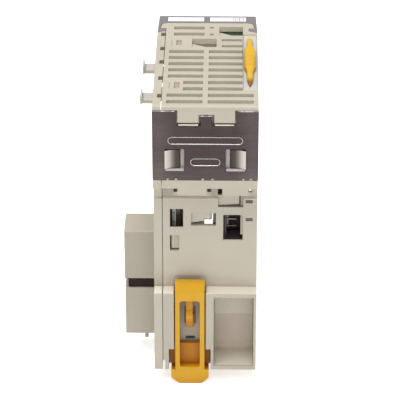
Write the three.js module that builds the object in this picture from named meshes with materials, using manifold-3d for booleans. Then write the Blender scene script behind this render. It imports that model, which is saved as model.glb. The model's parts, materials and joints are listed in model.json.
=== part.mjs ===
// Slim DIN-rail controller I/O module with a sliding rail latch, two lock sliders,
// a steel rear plate, side bus connectors and a removable screw terminal block.
//
// Millimetres. +Z is up, the module is fastened to its rail at the rear (+Y) and is wired
// at the front (-Y). The origin is the middle of the face that rests on the rail.
import * as THREE from "three";
import { mergeVertices } from "three/addons/utils/BufferGeometryUtils.js";
import Module from "manifold-3d";

const wasm = await Module();
wasm.setup();

// ---------- driving dimensions ----------
const WIDTH = 31;
const HEIGHT = 90;
const HALF_W = WIDTH / 2;
const TOP = HEIGHT / 2;
const BOTTOM = -HEIGHT / 2;
const REAR = 4.7;                 // rear faces of the upper and lower blocks
const BEZEL_FRONT = -60.3;
const BEZEL_HALF_FRONT = 15.1;    // the bezel widens a little towards the case
const BEZEL_HALF_REAR = 15.5;
const BEZEL_REAR_MID = -55;
const BEZEL_REAR_SIDE = -47.6;
const WALL = 1.6;
const CASE_EDGE = 12.8;           // +X edge of the main case, where the side cover starts
const SEAM = 0.18;                // gap between shells
const RECESS_TOP = 18;            // rail recess, for a 35 mm rail
const RECESS_BOTTOM = -18;
const GROOVE_BOTTOM = 12.1;       // deeper groove behind the hook lips
const GROOVE_DEPTH = 0.5;
const SEAT_WALL = 1.8;
const LIP_FRONT = 1.3;            // the rail flange is 1 mm thick
const LIP_BOTTOM = 15.8;
const VENT_PITCH = 4.375;
const VENT_WIDTH = 2.1;
const VENT_REAR_Y = 1.6;
const BUS_REAR = -11;             // bus plug and socket, along Y
const BUS_DEPTH = 12;
const BUS_TOP = -5.2;
const BUS_BOTTOM = -41.3;
const BUS_REACH = 9.5;            // how far the plug stands out
const BUS_PLAY = 0.4;
const LATCH_X = 4.65;
const LATCH_HALF_W = 4.45;
const SLIDER_X = -13;
const CHANNEL_DEPTH = 0.5;
const SLIDER_SUNK = CHANNEL_DEPTH - 0.25;
const TERMINAL_ROWS = 9;
const TERMINAL_PITCH = 6.6;
const BLOCK_TOP = 16;
const BLOCK_FRONT = -84;
const SCREW_X = 6.9;

// ---------- solids ----------
function toSolid(geometry) {
  const bare = geometry.clone();
  bare.deleteAttribute("normal");
  bare.deleteAttribute("uv");
  const merged = mergeVertices(bare, 1e-4);
  return new wasm.Manifold(new wasm.Mesh({
    numProp: 3,
    vertProperties: Float32Array.from(merged.attributes.position.array),
    triVerts: Uint32Array.from(merged.index.array),
  }));
}

function toGeometry(solid) {
  const { vertProperties, triVerts } = solid.getMesh();
  const geometry = new THREE.BufferGeometry();
  geometry.setAttribute("position", new THREE.BufferAttribute(vertProperties, 3));
  geometry.setIndex(new THREE.BufferAttribute(triVerts, 1));
  geometry.computeVertexNormals();
  return geometry;
}

const join = (...solids) => solids.reduce((whole, next) => whole.add(next));
const cut = (solid, ...tools) => tools.reduce((rest, tool) => rest.subtract(tool), solid);

function box(x0, x1, y0, y1, z0, z1) {
  const geometry = new THREE.BoxGeometry(x1 - x0, y1 - y0, z1 - z0);
  return toSolid(geometry.translate((x0 + x1) / 2, (y0 + y1) / 2, (z0 + z1) / 2));
}

function extrude(shape, depth, steps = 6) {
  return new THREE.ExtrudeGeometry(shape, { depth, bevelEnabled: false, curveSegments: steps });
}

// A list of [u, v] corners; a third number rounds that corner.
function outline(corners) {
  const shape = new THREE.Shape();
  const count = corners.length;
  corners.forEach(([u, v, radius = 0], i) => {
    const here = new THREE.Vector2(u, v);
    const before = new THREE.Vector2(...corners[(i + count - 1) % count].slice(0, 2)).sub(here);
    const after = new THREE.Vector2(...corners[(i + 1) % count].slice(0, 2)).sub(here);
    const enter = here.clone().add(before.setLength(radius));
    const leave = here.clone().add(after.setLength(radius));
    if (i === 0) shape.moveTo(enter.x, enter.y);
    else shape.lineTo(enter.x, enter.y);
    if (radius > 0) shape.quadraticCurveTo(u, v, leave.x, leave.y);
  });
  shape.closePath();
  return shape;
}

const rectangle = (u0, u1, v0, v1, radius = 0) =>
  outline([[u0, v0, radius], [u1, v0, radius], [u1, v1, radius], [u0, v1, radius]]);

// Prisms: the outline's corners are (Y, Z) along X, (X, Z) along Y and (X, Y) along Z.
function prismX(shape, x0, x1) {
  const turn = new THREE.Matrix4().makeBasis(
    new THREE.Vector3(0, 1, 0), new THREE.Vector3(0, 0, 1), new THREE.Vector3(1, 0, 0));
  return toSolid(extrude(shape, x1 - x0).applyMatrix4(turn).translate(x0, 0, 0));
}

function prismY(shape, y0, y1) {
  const turn = new THREE.Matrix4().makeRotationX(Math.PI / 2);
  return toSolid(extrude(shape, y1 - y0).applyMatrix4(turn).translate(0, y1, 0));
}

const prismZ = (shape, z0, z1) => toSolid(extrude(shape, z1 - z0).translate(0, 0, z0));

function rod(radius, length, axis, centre, sides = 16) {
  const geometry = new THREE.CylinderGeometry(radius, radius, length, sides);
  if (axis === "x") geometry.rotateZ(-Math.PI / 2);
  if (axis === "z") geometry.rotateX(Math.PI / 2);
  return toSolid(geometry.translate(...centre));
}

// ---------- finishes ----------
const finishes = {
  beige: { color: 0xc9c1b0, roughness: 0.55, metalness: 0 },
  connectorBeige: { color: 0xb6ad9e, roughness: 0.6, metalness: 0 },
  bezelGrey: { color: 0x5f5a62, roughness: 0.6, metalness: 0 },
  steel: { color: 0x564c49, roughness: 0.35, metalness: 0.9 },
  yellow: { color: 0xe2a42a, roughness: 0.45, metalness: 0 },
  black: { color: 0x26201d, roughness: 0.5, metalness: 0 },
  boardGreen: { color: 0x2f5a38, roughness: 0.5, metalness: 0.1 },
  labelWhite: { color: 0xf4f2ee, roughness: 0.6, metalness: 0 },
  nylonWhite: { color: 0xe9e6dd, roughness: 0.5, metalness: 0 },
  canGrey: { color: 0x8b8783, roughness: 0.4, metalness: 0.6 },
  clearGrey: { color: 0x9aa0a6, roughness: 0.2, metalness: 0 },
  plated: { color: 0xb9b6ae, roughness: 0.3, metalness: 0.9 },
  terminalGrey: { color: 0x3f3c42, roughness: 0.55, metalness: 0 },
};

const part = new THREE.Group();

function addPiece(name, solid, finish) {
  const mesh = new THREE.Mesh(toGeometry(solid), new THREE.MeshStandardMaterial(finishes[finish]));
  mesh.name = name;
  part.add(mesh);
}

// ---------- shared outlines ----------
// Side view of both shells, front to rear, with the rail recess and the rounded rear edges.
const sideView = outline([
  [BEZEL_FRONT + 2, BOTTOM], [REAR, BOTTOM, 0.5], [REAR, RECESS_BOTTOM, 0.3], [0, RECESS_BOTTOM],
  [0, GROOVE_BOTTOM], [-GROOVE_DEPTH, GROOVE_BOTTOM + GROOVE_DEPTH],
  [-GROOVE_DEPTH, RECESS_TOP], [REAR, RECESS_TOP, 0.3], [REAR, TOP, 1.2], [BEZEL_FRONT + 2, TOP],
]);

// Top view of the bezel, grown by a gap: what the shells leave free at the front.
// A thin arm runs back along each side and ends in a barb that reaches in behind the case's corner.
function bezelPlan(gap) {
  const clear = gap > 0 ? 2 : 0;
  const half = [
    [BEZEL_HALF_FRONT + clear, BEZEL_FRONT - gap],
    [BEZEL_HALF_REAR + clear, BEZEL_REAR_SIDE + gap],
    [BEZEL_HALF_REAR, BEZEL_REAR_SIDE + gap],
    [12.9 - gap, -49 + gap],
    [13 - gap, -50.7 - gap],
    [14.85 - gap, -50.5 - gap],
    [14.2 - gap, -54.4 + gap],
    [12.4, BEZEL_REAR_MID + gap],
  ].filter((corner, i) => clear > 0 || i !== 2);
  return outline([...half, ...half.map(([x, y]) => [-x, y]).reverse()]);
}
const bezelRoom = prismZ(bezelPlan(SEAM), BOTTOM - 1, TOP + 1);

// The steel plate lies in a shallow step of both shells.
const PLATE_BOTTOM = 21;
const PLATE_TOP = 43.5;
const PLATE_FRONT = 3.9;
const BEAD_DEPTH = 0.3;
const PLATE_REAR = 4.7;
const FINGER_POCKET_FLOOR = 1.9;
const FLAP_GROOVE = 2.6;           // how far forward the grooves round the flap and tab reach
const plateStep = cut(
  box(-HALF_W - 1, HALF_W + 1, PLATE_FRONT - 0.3, REAR + 1, PLATE_BOTTOM - 0.2, PLATE_TOP + 0.2),
  box(-8.6, 8.1, PLATE_FRONT - 1, REAR + 2, 39.7, TOP),
);
const tabRoom = join(
  box(-2.65, 1.95, FLAP_GROOVE, REAR + 1, 38, 42.3),
  box(1.95, 8.1, FLAP_GROOVE, REAR + 1, 39.08, 39.72),
  box(-8.6, -2.65, FLAP_GROOVE, REAR + 1, 39.08, 39.72),
);

// ---------- main case ----------
function ventRows() {
  const vents = [];
  const half = VENT_WIDTH / 2;
  const slot = (x0, x1, y, width = half) => vents.push(box(x0, x1, y - width, y + width, TOP - 3, TOP + 1));
  for (let i = 0; i < 9; i += 1) {
    const y = VENT_REAR_Y - VENT_PITCH * i;
    const beforeMark = i === 2 || i === 3;
    slot(0.9, beforeMark ? 6.7 : 11.4, y);
    slot(i < 2 ? -14 : -10.8, -0.65, y);
  }
  slot(0.9, 10.3, -46.4);
  slot(0.9, 10.3, -51);
  slot(-2, -0.75, -46.1, 0.6);
  slot(-2, -0.75, -51.3, 0.6);
  slot(-10.8, -4.5, -37.5, 0.8);
  slot(-10.8, -4.5, -41.9, 0.8);
  return vents;
}

// A snap finger fills one corner of its window and leaves a wedge-shaped gap beside it.
const topFingers = [
  { window: [-11, -3.7, -51.9, -45.4], finger: [[-3.6, -45.3], [-3.6, -48.9], [-9.4, -45.3]] },
  { window: [-2.9, 4.6, -42.8, -36.9], finger: [[4.7, -36.8], [4.7, -40.2], [-2, -36.8]] },
];
const rearFingers = [
  { window: [-11.3, -3.8, 9.4, 13.1], finger: [[-3.7, 13.2], [-3.7, 9.8], [-10.1, 10.2], [-10.1, 13.2]] },
  {
    window: [-3.15, 4.3, 3.1, 7.4],
    finger: [[4.4, 7.2], [4.4, 3.8], [0.5, 4.4], [0.5, 5.2], [-1.6, 5.2], [-1.6, 7.1]],
  },
];

function mainCase() {
  const outside = prismX(sideView, -HALF_W, CASE_EDGE);
  const inner = -HALF_W + WALL;
  const inside = join(
    box(inner, 20, -80, -SEAT_WALL - GROOVE_DEPTH, BOTTOM + WALL, TOP - WALL),
    box(inner, 20, -10, 1.9, RECESS_TOP + 2, TOP - WALL),
  );
  let shell = cut(outside, inside, bezelRoom);

  // Lower block: deep rectangular pocket with a leaning back wall, and the latch guide.
  shell = join(shell, box(-HALF_W, -1.5, -9, -1, BOTTOM, RECESS_BOTTOM + 0.2));
  const pocket = outline([
    [REAR + 1, -43.5], [-5.3, -43.5, 0.6], [-5.3, -30.4], [-7.8, -19.2], [REAR + 1, -19.2],
  ]);
  const guide = join(
    box(-0.2, 9.5, 0.8, REAR + 1, -50, RECESS_BOTTOM + 1),
    box(-0.9, 10.2, 0.8, 2.7, -50, -19.5),
    box(-1.7, 11.1, 0.8, REAR + 1, -50, -37.6),
    box(-0.2, 9.5, -0.15, 1, RECESS_BOTTOM - 1, -14.3),
    box(3.2, 6, -1.5, 1, -36.5, -35.1),
    box(12.2, 13, -2, REAR + 1, -46, -41.5),
  );
  shell = cut(shell, prismX(pocket, -14.7, -2.6), guide);

  // Upper block: the pockets behind the plate's fingers, then the plate's step.
  const fingerBlocks = join(
    box(4.4, CASE_EDGE, 0.5, 2.5, 21.6, 32.4),
    box(-13.9, -4.6, 0.5, 2.5, 21.6, 32.4),
  );
  const fingerPockets = join(
    box(5.8, 12.2, FINGER_POCKET_FLOOR, REAR + 1, 23.4, 31.4),
    box(-12.2, -5.6, FINGER_POCKET_FLOOR, REAR + 1, 23.4, 31.4),
  );
  shell = cut(join(shell, fingerBlocks), plateStep, tabRoom, fingerPockets);

  // Hook lips that hang behind the rail's upper flange, and the mould openings beside them.
  shell = join(
    shell,
    box(-0.4, 8.2, LIP_FRONT, REAR, LIP_BOTTOM, RECESS_TOP + 1),
    box(-12.75, -5.1, LIP_FRONT, REAR, LIP_BOTTOM, RECESS_TOP + 1),
  );
  const mouldOpenings = [[8.3, 9.5, 14.2], [-1.7, -0.5, 14.2], [-5, -3.7, 12.6], [-13.9, -12.7, 14.2]]
    .map(([x0, x1, z0]) => box(x0, x1, -3, 0.5, z0, 17.5));

  // Blind recess with an open edge, beside the capacitor window.
  shell = join(shell, box(7, 11, -3.5, -1, -7, 0.6));
  const seatOpenings = [
    box(6.65, 10.63, -9, 1, 2.5, 8.7),
    box(6.65, 10.63, -9, -0.6, 0.9, 8.7),
    box(-11.2, -5.3, -3.2, 1, -1.8, 6.8),
    box(-11.2, -5.3, -3.2, -0.6, -3, 6.8),
    box(-14.1, -12.05, -1.2, 1, 10.8, 11.9),
    box(-14.1, -12.05, -1.2, 1, 4.7, 5.8),
    box(7.9, 10.65, -0.8, 1, -5.6, -0.3),
    box(10.2, 10.65, -6, 1, -5.6, -0.3),
    box(7.9, 10.65, -6, 1, -5.6, -5.1),
  ];
  const seatWindows = rearFingers.map(({ window: [x0, x1, z0, z1] }) => box(x0, x1, -4, 1, z0, z1));
  const topWindows = topFingers.map(({ window: [x0, x1, y0, y1] }) => box(x0, x1, y0, y1, TOP - 3, TOP + 1));

  // Side openings: bus socket on -X; slider channels at the top and at the bottom.
  const busOpening = box(
    -20, inner + 1, BUS_REAR - BUS_DEPTH - BUS_PLAY, BUS_REAR + BUS_PLAY,
    BUS_BOTTOM - BUS_PLAY, BUS_TOP + BUS_PLAY);
  const channelPlan = rectangle(-15.3, -11, -46.3, -6.3, 0.8);
  const channels = join(
    prismZ(channelPlan, TOP - CHANNEL_DEPTH, TOP + 1),
    prismZ(channelPlan, BOTTOM - 1, BOTTOM + CHANNEL_DEPTH),
    box(-13.6, -12.4, -42, -20, BOTTOM - 1, BOTTOM + 3),
    box(-13.6, -12.4, -42, -20, TOP - 3, TOP + 1),
  );
  const marks = [[-41.9, -37.9], [-11.8, -7.3]].map(([y0, y1]) => join(
    box(7.8, 9.4, y0, y1 - 0.3, TOP - 0.9, TOP + 1),
    box(10.65, 10.95, y0, y1, TOP - 0.4, TOP + 1),
  ));
  shell = cut(
    shell, ...mouldOpenings, ...seatOpenings, ...seatWindows, ...topWindows, ...ventRows(),
    busOpening, channels, ...marks,
    ...[-36, -28, -20, -12].map((y) => box(-10, 11, y - 1, y + 1, BOTTOM - 1, BOTTOM + 2)),
  );
  const cornerLug = (z0, z1) => cut(box(11.5, 14.9, -56, -50.9, z0, z1), bezelRoom);
  return join(
    shell,
    cornerLug(TOP - WALL, TOP), cornerLug(BOTTOM, BOTTOM + WALL),
    ...topFingers.map(({ finger }) => prismZ(outline(finger), TOP - 1.7, TOP - 0.5)),
    ...rearFingers.map(({ finger }) => prismY(outline(finger), -SEAT_WALL, -0.6)),
    box(-11.4, -10.5, -2.3, -1, -0.4, 7),
    box(-11.5, -10.5, -1.7, -0.9, 9.2, 13.3),
    cut(
      box(-3.6, 5.2, -43.5, -36.2, 39.9, 44),
      box(-2.9, 4.6, -42.8, -36.9, 40.7, 46),
    ),
    box(2.1, 7.9, PLATE_FRONT - 0.5, PLATE_REAR - 0.3, 38.6, 39.08),
    box(-8.4, -2.8, PLATE_FRONT - 0.5, PLATE_REAR - 0.3, 38.6, 39.08),
  );
}
addPiece("main_case", mainCase(), "beige");

// ---------- side cover ----------
function sideCover() {
  const start = CASE_EDGE + SEAM;
  const rim = 1.5;
  const hollow = join(
    box(start - 1, HALF_W - 1.2, -80, -2.4, BOTTOM + rim, TOP - rim),
    box(start - 1, HALF_W - 1.2, -10, 2, RECESS_TOP + 2, TOP - rim),
  );
  const busOpening = box(
    start - 1, HALF_W + 1, BUS_REAR - BUS_DEPTH + 1, BUS_REAR - 1, BUS_BOTTOM + 1, BUS_TOP - 1);
  const notches = [-46, -35.5, -25.8, -14.4, -2.3]
    .map((y) => box(start - 1, 14.2, y - 1.3, y + 1.2, TOP - 2, TOP + 1));
  const frontCorner = box(start - 1, HALF_W + 1, -70, -49.5, BOTTOM - 1, TOP + 1);
  const shell = cut(
    prismX(sideView, start, HALF_W), hollow, bezelRoom, frontCorner, plateStep, busOpening, ...notches);
  const hook = (y0, y1) => join(
    box(HALF_W - 0.5, 18.9, y0, y1 - 0.3, 42.5, 43.5),
    box(18.6, 19.2, y0, y1, 42.5, 44.8),
  );
  return join(shell, hook(-27.9, -22.4), hook(-7.4, -1.8));
}
addPiece("side_cover", sideCover(), "beige");

// ---------- front bezel ----------
const labelPockets = [[1, 12.5], [-12.1, -0.6]];
const INDICATOR = { x: 11.5, z0: 26, z1: 42 };
const PIN = { x: -11.5, y: -62.6, radius: 1 };

function frontBezel() {
  const plan = prismZ(bezelPlan(0), BOTTOM, TOP);
  const inside = box(-13, 13, BEZEL_FRONT + 2, -40, BOTTOM + 2, TOP - 2);
  const front = join(
    box(-INDICATOR.x, INDICATOR.x, -70, -50, INDICATOR.z0, INDICATOR.z1),
    box(-13.2, 13.2, -70, -50, -43.6, BLOCK_TOP + 0.3),
  );
  const labels = labelPockets.map(([x0, x1]) => box(x0, x1, -59.6, -56.2, TOP - 0.7, TOP + 1));
  const lug = (z0, z1) => box(-13.4, -9.6, -64.4, BEZEL_FRONT + 0.5, z0, z1);
  return cut(
    join(cut(plan, inside, front, ...labels), lug(16.5, 17.6), lug(22.2, 23.4)),
    rod(PIN.radius + 0.15, 12, "z", [PIN.x, PIN.y, 20]),
  );
}
addPiece("front_bezel", frontBezel(), "bezelGrey");
labelPockets.forEach(([x0, x1], i) => {
  const strip = box(x0 + 0.1, x1 - 0.1, -59.5, -56.3, TOP - 0.6, TOP - 0.1);
  addPiece(i === 0 ? "label_strip_left" : "label_strip_right", strip, "labelWhite");
});
addPiece("indicator_window", join(
  box(-INDICATOR.x + 0.15, INDICATOR.x - 0.15, BEZEL_FRONT, -58.8, INDICATOR.z0 + 0.15, INDICATOR.z1 - 0.15),
  box(-12.4, 12.4, -58.1, -57.3, 25, 42.8),
  box(-10.8, 10.8, -59, -57.5, 26.8, 41.2),
), "clearGrey");

// ---------- rear plate ----------
function rearPlate() {
  const half = HALF_W + 0.05;
  const sheet = prismY(rectangle(-half, half, PLATE_BOTTOM, PLATE_TOP, 0.4), PLATE_FRONT, PLATE_REAR);
  const topCut = cut(
    prismY(rectangle(-9, 8.5, 38.5, 50, 1), 3, 6),
    box(-1.7, 1.3, 2, 7, 38, 42),
  );
  const notches = [11.1, 8.6, 0.75, -2.1, -11.2, -13.4]
    .map((x) => box(x - 0.35, x + 0.35, 3, 6, PLATE_BOTTOM - 1, PLATE_BOTTOM + 0.4));
  const windows = join(box(6.2, 11.9, 3, 6, 23.7, 31.1), box(-11.8, -6, 3, 6, 23.7, 31.1));
  const bead = (reach, z0, z1) => prismY(
    rectangle(-reach, reach, z0, z1, 1.05), PLATE_REAR - BEAD_DEPTH, PLATE_REAR + 1);
  // A lanced finger leaves the sheet at the window's outer edge, slopes in and ends in a flat pad.
  const springFinger = (root, side) => {
    const top = [[0, 0], [0.6, 0.27], [1.2, 0.52], [1.7, 0.68], [2.15, 0.77], [2.6, 0.8], [4.4, 0.8]];
    const back = [[4.4, 1.4], [2.5, 1.4], [1.9, 1.34], [1.3, 1.16], [0.7, 0.92], [-0.4, 0.7], [-0.4, 0.1]];
    const strip = [...top, ...back].map(([along, down]) => [root - side * along, PLATE_REAR - down]);
    return prismZ(outline(strip), 24.55, 30.45);
  };
  return join(
    cut(sheet, topCut, windows, ...notches, bead(10.85, 32.75, 34.85), bead(4.25, 25.75, 27.85)),
    springFinger(11.9, 1), springFinger(-11.8, -1),
  );
}
addPiece("rear_plate", rearPlate(), "steel");

// ---------- rail latch ----------
function dinLatch() {
  const x0 = LATCH_X - LATCH_HALF_W;
  const x1 = LATCH_X + LATCH_HALF_W;
  const back = 1.3;
  const face = 4.9;
  const arm = prismX(outline([
    [back, -46], [face, -46], [face, -17.4, 0.4], [3.4, -14.8], [back, -14.8],
  ]), x0, x1);
  const window = prismY(rectangle(1.6, 7.75, -43.9, -20.4, 1), 0, 6);
  const web = box(1.4, 7.9, back, 2.6, -44.4, -36.7);
  const tongue = prismX(outline([
    [2.3, -20], [2.3, -23.6], [1.5, -25.2], [1.5, -30.9], [2.6, -30.9], [3.2, -28.6],
    [4.3, -26.2, 0.5], [3.3, -24.2, 0.4], [3.6, -20],
  ]), 3.8, 5.8);
  const ears = join(
    box(-1.4, 10.8, back, 2, -42.35, -37.9),
    box(-1.1, 10.4, back, 2, -44.6, -42),
  );
  const runners = box(-0.6, 9.9, back, 2.4, -38.2, -24);
  const foot = prismY(outline([
    [-1.1, -44.8, 0.4], [-1.1, -47.7], [1.1, -49.8, 0.5], [7.9, -49.8, 0.5], [10.4, -47.7],
    [10.4, -44.8, 0.4],
  ]), back, face);
  const heel = prismY(outline([
    [-1.1, -45.4], [-1.1, -47.7], [1.1, -49.8, 0.5], [7.9, -49.8, 0.5], [10.4, -47.7], [10.4, -45.4],
  ]), -0.5, back + 0.5);
  return join(cut(join(arm, ears, runners), window), web, tongue, foot, heel);
}
addPiece("din_latch", dinLatch(), "yellow");

// ---------- lock sliders ----------
function lockSlider(side) {
  const surface = side * TOP;
  const plan = outline([
    [SLIDER_X - 0.75, -43.1, 0.5], [SLIDER_X + 0.75, -43.1, 0.5], [SLIDER_X + 0.75, -36.3],
    [SLIDER_X + 1.75, -35.6, 0.4], [SLIDER_X + 1.75, -22.4, 0.6], [SLIDER_X + 0.75, -19.6],
    [SLIDER_X + 0.7, -12.4, 0.4], [SLIDER_X, -8.6, 0.1], [SLIDER_X - 0.7, -12.4, 0.4],
    [SLIDER_X - 0.75, -19.6], [SLIDER_X - 1.75, -22.4, 0.6], [SLIDER_X - 1.75, -35.6, 0.4],
    [SLIDER_X - 0.75, -36.3],
  ]);
  // Heights below run outwards from the case's face, whichever face the slider is on.
  const between = (shape, from, to) => {
    const ends = [surface + side * from, surface + side * to];
    return prismZ(shape, Math.min(...ends), Math.max(...ends));
  };
  const grip = rectangle(SLIDER_X - 1.75, SLIDER_X + 1.75, -35.4, -22.6, 0.5);
  const ribs = Array.from({ length: 6 }, (_, i) => {
    const y = -33.6 + i * 1.9;
    return between(rectangle(SLIDER_X - 1.75, SLIDER_X + 1.75, y, y + 0.9), 1.4, 2.2);
  });
  const keel = between(rectangle(SLIDER_X - 0.35, SLIDER_X + 0.35, -38.5, -23.5), -2.25, -SLIDER_SUNK + 0.1);
  return join(between(plan, -SLIDER_SUNK, 0.9), between(grip, 0, 1.5), ...ribs, keel);
}
addPiece("top_slider", lockSlider(1), "yellow");
addPiece("bottom_slider", lockSlider(-1), "yellow");

// ---------- bus connectors ----------
function busPlugHalf(z0, z1, reach) {
  const front = BUS_REAR - BUS_DEPTH;
  const head = prismX(rectangle(front, BUS_REAR, z0, z1, 0.6), HALF_W + SEAM, HALF_W + reach);
  const neck = box(CASE_EDGE + 0.2, HALF_W + 1, front + 1.4, BUS_REAR - 1.4, z0 + 1.6, z1 - 1.6);
  const middle = front + BUS_DEPTH / 2;
  const contactSlot = box(HALF_W + 3, 30, middle - 1.6, middle + 1.6, z0 + 1.6, z1 - 1.6);
  return cut(join(head, neck), contactSlot);
}
const BAND_TOP = BUS_TOP - 16.7;
const BAND_BOTTOM = BAND_TOP - 3.3;
const PLUG_BOTTOM = BUS_BOTTOM - 0.45;
addPiece("bus_plug_upper", busPlugHalf(BAND_TOP, BUS_TOP, BUS_REACH), "connectorBeige");
addPiece("bus_plug_lower", join(
  busPlugHalf(PLUG_BOTTOM, BAND_BOTTOM, BUS_REACH - 0.1),
  rod(0.6, 3.4, "z", [18.6, BUS_REAR - 4, PLUG_BOTTOM - 1.7], 12),
), "connectorBeige");
addPiece("bus_plug_insulator", box(
  HALF_W + SEAM, HALF_W + BUS_REACH - 1.1, BUS_REAR - BUS_DEPTH + 0.7, BUS_REAR - 0.7,
  BAND_BOTTOM + 0.1, BAND_TOP - 0.1), "black");
const pinCombs = [["bus_pins_upper", BAND_TOP, BUS_TOP], ["bus_pins_lower", BUS_BOTTOM, BAND_BOTTOM]];
pinCombs.forEach(([name, z0, z1]) => {
  const middle = BUS_REAR - BUS_DEPTH / 2;
  const comb = [box(18.7, 20.2, middle - 0.8, middle + 0.8, z0 + 2.2, z1 - 2.2)];
  for (let z = z0 + 2.6; z < z1 - 2.9; z += 1.8) {
    comb.push(box(20, 22.6, middle - 0.6, middle + 0.6, z, z + 0.8));
  }
  addPiece(name, join(...comb), "plated");
});

function busSocket() {
  const y0 = BUS_REAR - BUS_DEPTH - BUS_PLAY;
  const y1 = BUS_REAR + BUS_PLAY;
  const z0 = BUS_BOTTOM - BUS_PLAY;
  const z1 = BUS_TOP + BUS_PLAY;
  const wall = 1;
  const middle = (y0 + y1) / 2;
  const cup = cut(
    box(-13.6, -5.7, y0 - wall, y1 + wall, z0 - wall, z1 + wall),
    box(-15, -6.9, y0, y1, z0, z1),
  );
  const tongue = box(-12.4, -6.7, middle - 1.2, middle + 1.2, z0 + 3, z1 - 3);
  return join(cup, tongue);
}

// ---------- circuit boards and what stands on them ----------
const boardOutline = (rearEdge, lowRearEdge) => outline([
  [-52.6, -42.6], [lowRearEdge, -42.6], [lowRearEdge, -17], [rearEdge, -17], [rearEdge, 42.6], [-52.6, 42.6],
]);
addPiece("main_board", prismX(boardOutline(-3.4, -10), -5.4, -4), "boardGreen");
addPiece("io_board", prismX(boardOutline(-3.4, -3.4), 11.2, 12.6), "boardGreen");
addPiece("indicator_board", box(-12.4, 12.4, -54.6, -53.2, -42.6, 42.8), "boardGreen");
addPiece("light_guide", join(
  box(-10.5, 10.5, -56.2, -55, 27, 41),
  ...[28, 31, 34, 37].map((z) => box(-9.5, 9.5, -57, -56, z, z + 1.6)),
), "clearGrey");

addPiece("rear_connector", cut(
  box(-12.3, -5.7, -11, -2.7, -3.4, 7.6),
  box(-11.2, -6.3, -8.5, -2, -2.4, 6.7),
), "black");
addPiece("connector_pins", join(
  box(-6.9, -6.4, -8.3, -4.9, -0.1, 4),
  ...[0.5, 2.8].map((z) => box(-9.3, -6.5, -5, -4.5, z, z + 0.35)),
), "plated");
addPiece("capacitor", join(
  rod(2.9, 15, "z", [8.2, -6.6, 5.5], 20),
  rod(2.6, 1.2, "z", [8.2, -6.6, 13.3], 20),
), "canGrey");
addPiece("small_capacitor", rod(2.5, 9, "z", [3, -20, 30], 16), "canGrey");
addPiece("board_spacer", join(
  box(-3.6, 1.2, -8, -2.6, 2, 7.6),
  box(-2.2, 0.3, -3, -0.6, 3.3, 4.9),
  box(-2.3, -1.9, -3, -0.6, 4.8, 7.2),
), "nylonWhite");
addPiece("board_clip", box(-13.7, -12.9, -4.5, -0.9, 14.4, 17.3), "nylonWhite");
addPiece("power_coil", join(
  box(2, 10.9, -36, -26, -30, -20),
  rod(3.6, 1.2, "x", [1.6, -31, -25], 16),
), "black");
addPiece("logic_chip", box(-3.7, -2.2, -36, -22, -8, 6), "black");
for (let i = 0; i < 4; i += 1) {
  addPiece(`photocoupler_${i + 1}`, box(8.6, 10.9, -46, -36, -12 + i * 11, -4.5 + i * 11), "black");
}

// ---------- terminal block ----------
const BLOCK_BOTTOM = BLOCK_TOP - TERMINAL_ROWS * TERMINAL_PITCH;
const BLOCK_REAR = -60.6;
const SCREW_SEAT = BLOCK_FRONT + 5;
const rowHeight = (row) => BLOCK_TOP - TERMINAL_PITCH * (row + 0.5);

addPiece("terminal_base", join(
  box(-12.9, 12.9, -60.1, -55, BLOCK_BOTTOM + 0.4, BLOCK_TOP - 0.3),
  box(-2, 2, -66, -60, BLOCK_BOTTOM + 4, BLOCK_TOP - 4),
), "black");

function terminalBlock() {
  const body = prismZ(outline([
    [-13, BLOCK_REAR], [-13, BLOCK_FRONT, 0.5], [13, BLOCK_FRONT, 0.5], [13, BLOCK_REAR],
  ]), BLOCK_BOTTOM, BLOCK_TOP);
  const tools = [box(-2.5, 2.5, -66.5, -60, BLOCK_BOTTOM + 3.5, BLOCK_TOP - 3.5)];
  for (let row = 0; row < TERMINAL_ROWS; row += 1) {
    const z = rowHeight(row);
    for (const side of [-1, 1]) {
      const x0 = Math.min(side * 1.2, side * 14);
      const x1 = Math.max(side * 1.2, side * 14);
      tools.push(box(x0, x1, BLOCK_FRONT - 1, SCREW_SEAT, z - 2.7, z + 2.7));
      tools.push(rod(1.8, 9, "y", [side * SCREW_X, SCREW_SEAT + 4, z], 12));
    }
  }
  return cut(body, ...tools);
}
addPiece("terminal_block", terminalBlock(), "terminalGrey");

function terminalScrew(x, z) {
  const headHeight = 1.8;
  const head = rod(2.3, headHeight, "y", [x, SCREW_SEAT - 0.9 - headHeight / 2, z], 14);
  const clamp = box(x - 3.2, x + 3.2, SCREW_SEAT - 0.95, SCREW_SEAT - 0.25, z - 2.4, z + 2.4);
  const shank = rod(1.45, 7.5, "y", [x, SCREW_SEAT + 3, z], 10);
  const slot = box(x - 2.6, x + 2.6, SCREW_SEAT - 4, SCREW_SEAT - 1.9, z - 0.35, z + 0.35);
  return cut(join(head, clamp, shank), slot);
}
for (let row = 0; row < TERMINAL_ROWS; row += 1) {
  addPiece(`terminal_screw_a${row + 1}`, terminalScrew(SCREW_X, rowHeight(row)), "plated");
  addPiece(`terminal_screw_b${row + 1}`, terminalScrew(-SCREW_X, rowHeight(row)), "plated");
}

// ---------- terminal release lever ----------
addPiece("release_lever", cut(
  join(
    prismZ(outline([
      [-13.2, -64.2, 0.8], [11.6, -64.2, 0.8], [12.4, -62.4], [11.6, -61.6], [-13.2, -61.2, 0.8],
    ]), 17.9, 21.9),
    box(10, 11.4, -65.4, -64, 18.3, 21.5),
  ),
  rod(PIN.radius + 0.15, 12, "z", [PIN.x, PIN.y, 20]),
), "bezelGrey");
addPiece("lever_pin", rod(PIN.radius, 7.4, "z", [PIN.x, PIN.y, 20], 16), "plated");
addPiece("bus_socket", busSocket(), "black");

export default part;
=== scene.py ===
"""Looks of a slim rail-mounted controller I/O module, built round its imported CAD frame."""
import json
import math

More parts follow.
